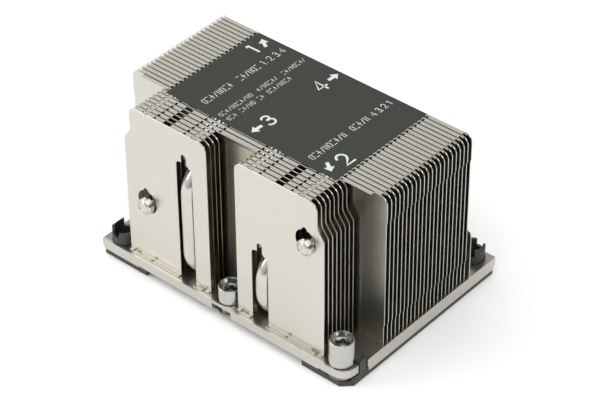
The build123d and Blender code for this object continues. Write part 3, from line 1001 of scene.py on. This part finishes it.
def wordRow(x, runs, height, cell, stroke):
    parts, k = [], 0
    for start, end in runs:
        count = round((end - start) / cell)
        for i in range(count):
            for j, path in enumerate(marks[(k * 3 + i) % len(marks)]):
                spots = [(x - v * height, start + (i + 0.66 * u) * cell) for u, v in path]
                parts.append(lifted(ribbon(spots, stroke), 0.006 * j))
            k += 1
    return parts


def makeLabel():
    film = filled([roundedBox(-label["half"], label["half"], label["front"], label["back"], label["corner"])], label["thick"], 0.02)
    piece("labelFilm", lifted(film, label["foot"] + label["thick"] / 2), labelFinish, "heatsink", "label_film", "top_label")
    s = label["stroke"]
    parts = written("1", -28.3, 12.7, 5.6, 4.2, s, 0) + written("4", 2.6, 9.9, 5.5, 5.2, s, 0)
    parts += written("3", 1.9, -15.2, 4.9, 5.6, s, 0) + written("2", 33.9, -15.2, 5.6, 5.4, s, 0)
    parts += [arrow(-28.35, 17.3, -3.7, 2.25), arrow(-0.1, 16.0, 0.1, 4.6), arrow(-0.15, -16.6, -0.1, -4.6), arrow(28.1, -18.1, 3.8, -2.4)]
    parts += written("1.2.3.4", -21.6, 9.3, 2.7, 2.1, label["small"], 1.5)
    parts += written("4.3.2.1", 24.1, 10.2, 2.5, 2.0, label["small"], 1.42)
    parts += wordRow(-21.6, [(-19.3, -5.2), (-2.4, 7.8)], 2.5, 1.72, 0.24)
    parts += wordRow(24.1, [(-19.6, -2.4), (0.2, 9.0)], 2.4, 1.7, 0.24)
    parts += wordRow(-13.1, [(-21.2, -5.4), (-3.2, 7.4), (9.2, 20.6)], 1.75, 1.42, 0.18)
    parts += wordRow(-9.7, [(-21.2, -16.8), (-15.2, -8.2), (-6.6, -3.4), (-1.8, 9.4)], 1.75, 1.42, 0.18)
    piece("labelPrint", joined(parts), inkFinish, "heatsink", "label_film")


makeLabel()
print("label made")


# plate, carrier and rings keep their imported shapes; plate and carrier get softened edges

def plateRim():
    # the lower rim of the plate, along both ends and in front of both plain feet
    rim, r = plate["rim"], plate["corner"]
    out, back = plate["half"] + 0.015, plate["wide"] + 0.015
    parts = []
    for turn in (1, -1):
        end = [(-out, -back + r), (-out + rim, -back + r), (-out + rim, plate["armY"]), (-out, plate["armY"])]
        foot = [(-out + r, -back), (plate["footX"], -back), (plate["footX"], -back + rim), (-out + r, -back + rim)]
        bend = arc(-out + r, -back + r, r, 180, 270) + arc(-out + r, -back + r, r - rim, 270, 180)
        for outline, low in ((end, plate["endLow"]), (foot, plate["footLow"]), (bend, plate["footLow"])):
            spots = [(x * turn, y * turn) for x, y in outline]
            parts.append(lifted(filled([spots], plate["rimTop"] - low), (plate["rimTop"] + low) / 2))
    piece("plateRim", joined(parts), plateFinish, "heatsink", "base_metal")


carrier = {
    "wall": 1.1,
    "floor": -2.98,
    "ceiling": -1.05,              # clear of the nut and its ring above
    "out": (53.65, 38.15),         # the corner's outer faces, along X and Y
    "chamfer": 3.37,
    "reach": (43.9, 33.4),         # how far the wall runs back along each side
}


def carrierCorners():
    # the carrier's wall round the two tall nuts, closed at its cut corners
    w, c, (x, y), (backX, backY) = carrier["wall"], carrier["chamfer"], carrier["out"], carrier["reach"]
    inner = c - w * 0.6
    outline = [(backX, -y), (x - c, -y), (x, -y + c), (x, -backY),
               (x - w, -backY), (x - w, -y + w + inner), (x - w - inner, -y + w), (backX, -y + w)]
    middle, thick = (carrier["floor"] + carrier["ceiling"]) / 2, carrier["ceiling"] - carrier["floor"]
    parts = [lifted(filled([[(a * turn, b * turn) for a, b in outline]], thick), middle) for turn in (1, -1)]
    piece("carrierCorners", joined(parts), plasticFinish, "heatsink", "carrier_plastic")


def dress(name, finish, bevel):
    thing = nodes[name]
    thing.data.materials.clear()
    thing.data.materials.append(finish)
    if bevel:
        edge = thing.modifiers.new("edges", "BEVEL")
        edge.width, edge.segments, edge.limit_method, edge.angle_limit = bevel * mm, 2, "ANGLE", radians(35)


plate = {
    "half": 54.0, "wide": 39.0, "corner": 1.0, "rim": 0.28, "rimTop": 3.58,
    "endLow": -1.1, "footLow": -0.3, "armY": 27.9, "footX": -37.4,
}
plateRim()
carrierCorners()
dress("base_plate", plateFinish, 0.18)
dress("carrier", plasticFinish, 0.15)
for number in nutPlaces:
    dress(f"retaining_ring_{number}", springFinish, 0)
print("plate and carrier dressed")


# floor, lights and surroundings

studio = {
    "floor": (0.90, 0.90, 0.895, 1),
    "bright": (1.05, 1.05, 1.04, 1),
    "dim": (0.18, 0.18, 0.18, 1),
    "towards": (-0.62, -0.30, 0.72),   # where the room is brightest
}


def areaLight(name, place, target, size, power, colour=(1, 1, 1)):
    light = bpy.data.lights.new(name, "AREA")
    light.shape, light.size, light.energy, light.color = "SQUARE", size, power, colour
    thing = bpy.data.objects.new(name, light)
    bpy.context.scene.collection.objects.link(thing)
    thing.location = place
    thing.rotation_mode = "QUATERNION"
    thing.rotation_quaternion = (Vector(target) - Vector(place)).to_track_quat("-Z", "Y")


def makeStudio():
    shape = bmesh.new()
    bmesh.ops.create_grid(shape, x_segments=1, y_segments=1, size=3)
    bmesh.ops.translate(shape, vec=(0, 0, cadBox[0].z - 0.0002), verts=shape.verts)
    floor = bpy.data.objects.new("floor", fromShape(shape))
    bpy.context.scene.collection.objects.link(floor)
    f = Finish("paleFloor", {"Base Color": studio["floor"], "Roughness": 0.8})
    floor.data.materials.append(f.material)
    makeRoom()
    areaLight("overhead", (0.45, -0.35, 1.2), (0, 0, 0.03), 1.4, 11)
    areaLight("frontLeft", (-1.0, -0.8, 0.75), (0, 0, 0.03), 0.8, 7)
    areaLight("behindRight", (0.92, 0.89, 0.80), (0, 0, 0.03), 0.4, 2.2)


def makeRoom():
    world = bpy.data.worlds.new("room")
    bpy.context.scene.world = world
    world.use_nodes = True
    tree = world.node_tree
    way, dot = tree.nodes.new("ShaderNodeTexCoord"), tree.nodes.new("ShaderNodeVectorMath")
    ramp, mix = tree.nodes.new("ShaderNodeMapRange"), tree.nodes.new("ShaderNodeMix")
    dot.operation, mix.data_type, ramp.interpolation_type = "DOT_PRODUCT", "RGBA", "SMOOTHSTEP"
    dot.inputs[1].default_value = Vector(studio["towards"]).normalized()
    ramp.inputs["From Min"].default_value, ramp.inputs["From Max"].default_value = -0.35, 0.95
    mix.inputs[6].default_value, mix.inputs[7].default_value = studio["dim"], studio["bright"]
    tree.links.new(way.outputs["Generated"], dot.inputs[0])
    tree.links.new(dot.outputs["Value"], ramp.inputs["Value"])
    tree.links.new(ramp.outputs[0], mix.inputs[0])
    tree.links.new(mix.outputs[2], tree.nodes["Background"].inputs["Color"])


bpy.context.scene.view_settings.view_transform = "Standard"
makeStudio()
